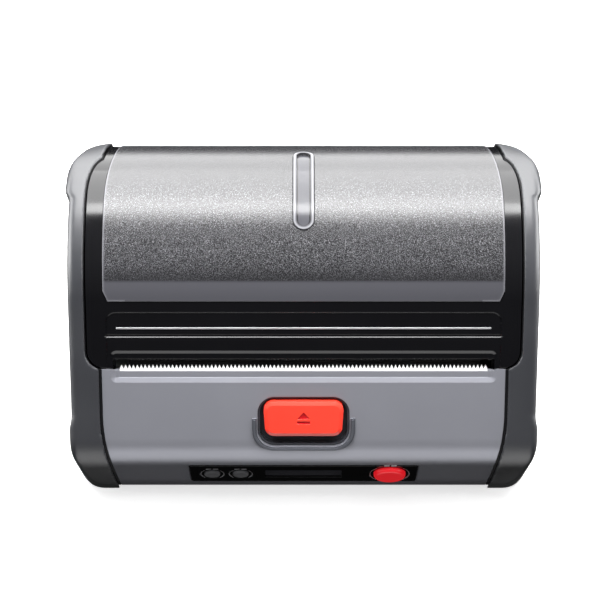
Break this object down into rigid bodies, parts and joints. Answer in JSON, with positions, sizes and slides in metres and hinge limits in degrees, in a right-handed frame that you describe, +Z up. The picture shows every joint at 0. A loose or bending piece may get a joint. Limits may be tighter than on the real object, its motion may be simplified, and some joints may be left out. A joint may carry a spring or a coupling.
{
  "type": "portable receipt printer",
  "caption": "Mobile thermal receipt printer with a hinged smoky cover over the roll bay, red release button, tear bar and rubber bumpers",
  "frame": {"origin": "centre of the bounding box's footprint, on the surface that the printer rests on", "axes": "+X to the right seen from the front, +Y to the hinge at the rear, +Z up"},
  "size_m": [0.1458, 0.1065, 0.065],
  "materials": {
    "bumper_rubber": "satin",
    "black_case": "satin",
    "grey_case": "satin",
    "smoky_window": "frosted",
    "clear_window": "gloss",
    "gloss_black": "gloss",
    "display_glass": "gloss",
    "red_plastic": "satin",
    "key_grey": "satin",
    "tooth_steel": "satin",
    "bright_steel": "polished",
    "spring_steel": "satin",
    "platen_rubber": "matte",
    "gear_nylon": "satin",
    "pinion_brass": "satin",
    "motor_steel": "satin",
    "head_ceramic": "gloss",
    "head_aluminium": "satin",
    "latch_plastic": "satin",
    "board_green": "satin",
    "battery_case": "satin",
    "socket_black": "satin",
    "flap_rubber": "matte",
    "screw_zinc": "satin"
  },
  "bodies": {
    "base": {"bumper_left": "bumper_rubber", "bumper_right": "bumper_rubber", "base_shell": "black_case", "front_housing": "grey_case", "tear_bar": "tooth_steel", "button_well": "gloss_black", "open_button_spring": "spring_steel", "control_bezel": "gloss_black", "key_board": "board_green", "display_module": "display_glass", "hinge_pins": "bright_steel", "mechanism_chassis": "tooth_steel", "idler_stud": "bright_steel", "stepper_motor": "motor_steel", "head_pivot_shaft": "bright_steel", "head_springs": "spring_steel", "latch_shaft": "bright_steel", "roll_cradle": "black_case", "charge_socket": "socket_black", "main_board": "board_green", "board_screws": "screw_zinc", "chassis_screws": "screw_zinc", "housing_screws": "screw_zinc"},
    "cover": {"cover_frame": "black_case", "cover_window": "smoky_window", "paper_gauge": "clear_window", "peel_bar": "bright_steel", "paper_sensor": "latch_plastic", "platen_bushings": "gear_nylon"},
    "platen": {"platen_shaft": "bright_steel", "platen_roller": "platen_rubber", "platen_gear": "gear_nylon"},
    "idler": {"idler_gear": "gear_nylon"},
    "motor_rotor": {"motor_pinion": "pinion_brass", "motor_shaft": "bright_steel"},
    "head": {"print_head_strip": "head_ceramic", "print_head_sink": "head_aluminium"},
    "latch": {"latch_lever": "latch_plastic"},
    "button": {"open_button": "red_plastic"},
    "key_feed": {"feed_key": "key_grey"},
    "key_mode": {"mode_key": "key_grey"},
    "key_power": {"power_key": "red_plastic"},
    "guide_right": {"paper_guide_right": "latch_plastic"},
    "guide_left": {"paper_guide_left": "latch_plastic"},
    "pinion": {"guide_pinion": "gear_nylon"},
    "hub_right": {"roll_hub_right": "latch_plastic"},
    "hub_left": {"roll_hub_left": "latch_plastic"},
    "battery": {"battery_pack": "battery_case", "battery_cap": "battery_case"},
    "flap": {"port_flap": "flap_rubber"}
  },
  "joints": [
    {"name": "cover_open", "type": "hinge", "parent": "base", "child": "cover", "pos_m": [0, 0.04995, 0.03099], "axis": [-1, 0, 0], "range_deg": [0, 100]},
    {"name": "platen_spin", "type": "hinge", "parent": "cover", "child": "platen", "pos_m": [0, -0.01388, 0.04402], "axis": [1, 0, 0], "continuous": true},
    {"name": "idler_spin", "type": "hinge", "parent": "base", "child": "idler", "pos_m": [0, -0.0164, 0.03167], "axis": [1, 0, 0], "continuous": true},
    {"name": "motor_spin", "type": "hinge", "parent": "base", "child": "motor_rotor", "pos_m": [0, -0.02579, 0.02634], "axis": [1, 0, 0], "continuous": true},
    {"name": "head_tilt", "type": "hinge", "parent": "base", "child": "head", "pos_m": [0, -0.01272, 0.02845], "axis": [1, 0, 0], "range_deg": [0, 4], "stiffness_Nm_per_rad": 0.2, "springref_deg": -28.65, "deforming": ["head_springs"]},
    {"name": "latch_turn", "type": "hinge", "parent": "base", "child": "latch", "pos_m": [0, -0.02626, 0.03882], "axis": [1, 0, 0], "range_deg": [0, 10.54]},
    {"name": "open_press", "type": "slide", "parent": "base", "child": "button", "axis": [0, 0.5075, -0.8616], "range_m": [0, 0.0016], "stiffness_N_per_m": 500, "springref_m": -0.003, "deforming": ["open_button_spring"]},
    {"name": "feed_press", "type": "slide", "parent": "base", "child": "key_feed", "axis": [0, 0.9781, -0.2079], "range_m": [0, 0.0004], "stiffness_N_per_m": 1500, "springref_m": -0.0003},
    {"name": "mode_press", "type": "slide", "parent": "base", "child": "key_mode", "axis": [0, 0.9781, -0.2079], "range_m": [0, 0.0004], "stiffness_N_per_m": 1500, "springref_m": -0.0003},
    {"name": "power_press", "type": "slide", "parent": "base", "child": "key_power", "axis": [0, 0.9781, -0.2079], "range_m": [0, 0.0004], "stiffness_N_per_m": 1500, "springref_m": -0.0003},
    {"name": "guide_right_slide", "type": "slide", "parent": "base", "child": "guide_right", "axis": [-1, 0, 0], "range_m": [0, 0.026]},
    {"name": "guide_left_slide", "type": "slide", "parent": "base", "child": "guide_left", "axis": [1, 0, 0], "range_m": [0, 0.026]},
    {"name": "guide_pinion_spin", "type": "hinge", "parent": "base", "child": "pinion", "pos_m": [0, 0.01464, 0.0109], "axis": [0, 0, 1], "range_deg": [0, 310.9]},
    {"name": "hub_right_spin", "type": "hinge", "parent": "guide_right", "child": "hub_right", "pos_m": [0, 0.01464, 0.03801], "axis": [1, 0, 0], "continuous": true},
    {"name": "hub_left_spin", "type": "hinge", "parent": "guide_left", "child": "hub_left", "pos_m": [0, 0.01464, 0.03801], "axis": [1, 0, 0], "continuous": true},
    {"name": "battery_slide", "type": "slide", "parent": "base", "child": "battery", "axis": [0, 1, 0], "range_m": [0, 0.065]},
    {"name": "flap_turn", "type": "hinge", "parent": "base", "child": "flap", "pos_m": [0.051, 0.05225, 0.0107], "axis": [-1, 0, 0], "range_deg": [0, 100]}
  ],
  "couplings": [
    {"joint": "idler_spin", "follows": "platen_spin", "ratio": -0.75},
    {"joint": "motor_spin", "follows": "platen_spin", "ratio": 1.5},
    {"joint": "latch_turn", "follows": "open_press", "rad_per_m": 114},
    {"joint": "guide_left_slide", "follows": "guide_right_slide", "ratio": 1},
    {"joint": "guide_pinion_spin", "follows": "guide_right_slide", "rad_per_m": 208.33}
  ]
}
